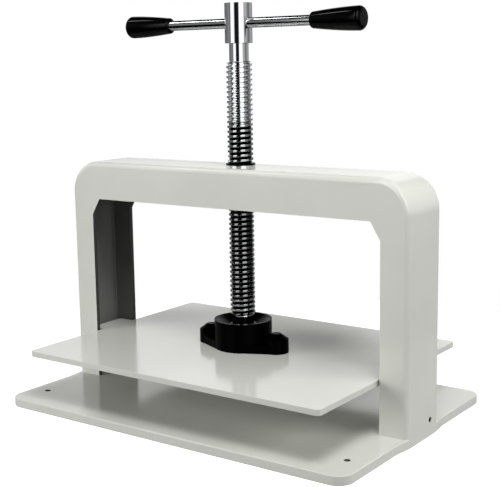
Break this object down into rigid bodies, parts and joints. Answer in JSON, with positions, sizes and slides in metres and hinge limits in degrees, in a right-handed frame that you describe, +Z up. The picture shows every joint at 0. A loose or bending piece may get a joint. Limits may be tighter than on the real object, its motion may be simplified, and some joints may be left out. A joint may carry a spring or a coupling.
{
  "type": "copying press",
  "caption": "Hand screw press: a flat base, a hollow arch and a guided plate that a threaded screw with a tee handle drives down, to flatten paper or books.",
  "frame": {"origin": "under the screw's axis, on the surface that the base stands on", "axes": "+X along the arch, +Y from front to back, +Z up the screw"},
  "size_m": [0.36, 0.246, 0.3575],
  "materials": {
    "grey_paint": "satin light warm grey enamel",
    "black_paint": "gloss black enamel on an iron casting",
    "chrome": "bright chrome plate",
    "bright_steel": "turned steel",
    "black_steel": "blackened steel",
    "brass": "turned brass",
    "grip_plastic": "polished black thermoset"
  },
  "bodies": {
    "frame": {"base_plate": "grey_paint", "arch_frame": "grey_paint", "leg_lugs": "grey_paint", "leg_set_screws": "black_steel", "screw_nut": "chrome", "nut_screws": "black_steel"},
    "platen": {"press_plate": "grey_paint", "press_foot": "black_paint", "foot_screws": "black_steel", "thrust_washer": "black_steel"},
    "screw": {"lead_screw": "chrome", "retaining_washer": "bright_steel", "retaining_screw": "black_steel", "handle_hub": "chrome", "hub_pin": "bright_steel", "handle_bar": "chrome", "bar_set_screw": "black_steel", "left_grip": "grip_plastic", "right_grip": "grip_plastic", "left_grip_insert": "brass", "right_grip_insert": "brass"}
  },
  "joints": [
    {"name": "plate_slide", "type": "slide", "parent": "frame", "child": "platen", "axis": [0, 0, 1], "range_m": [-0.0402, 0.10175]},
    {"name": "screw_turn", "type": "hinge", "parent": "platen", "child": "screw", "pos_m": [0, 0, 0.0735], "axis": [0, 0, 1], "range_deg": [-3365, 8515]}
  ],
  "couplings": [
    {"joint": "plate_slide", "follows": "screw_turn", "m_per_rad": 0.00068437}
  ]
}
